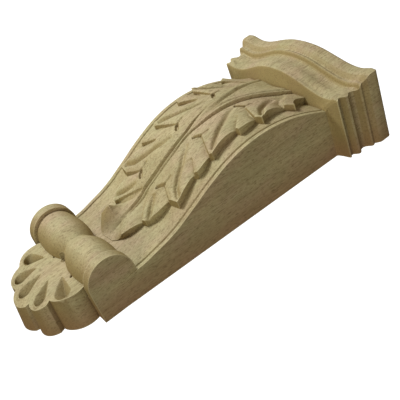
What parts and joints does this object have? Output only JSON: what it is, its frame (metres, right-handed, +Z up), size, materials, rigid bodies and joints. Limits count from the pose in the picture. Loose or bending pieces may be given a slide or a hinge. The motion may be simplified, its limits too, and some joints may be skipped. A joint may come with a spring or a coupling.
{
  "type": "carved wooden corbel onlay",
  "caption": "Carved wall corbel in pale wood: serpentine moulded cap, acanthus leaf on an ogee front, scroll and shell foot, flat back.",
  "frame": {"origin": "centre of the flat back at half the height, where it is glued or pinned to the wall", "axes": "+Z up along the length towards the cap, +Y into the wall, +X to the right of someone facing the carving"},
  "size_m": [0.1, 0.0449, 0.2],
  "materials": {
    "wood": "unfinished, sanded, fine open pores"
  },
  "bodies": {
    "root": {"carved_corbel_onlay": "wood"}
  },
  "joints": []
}
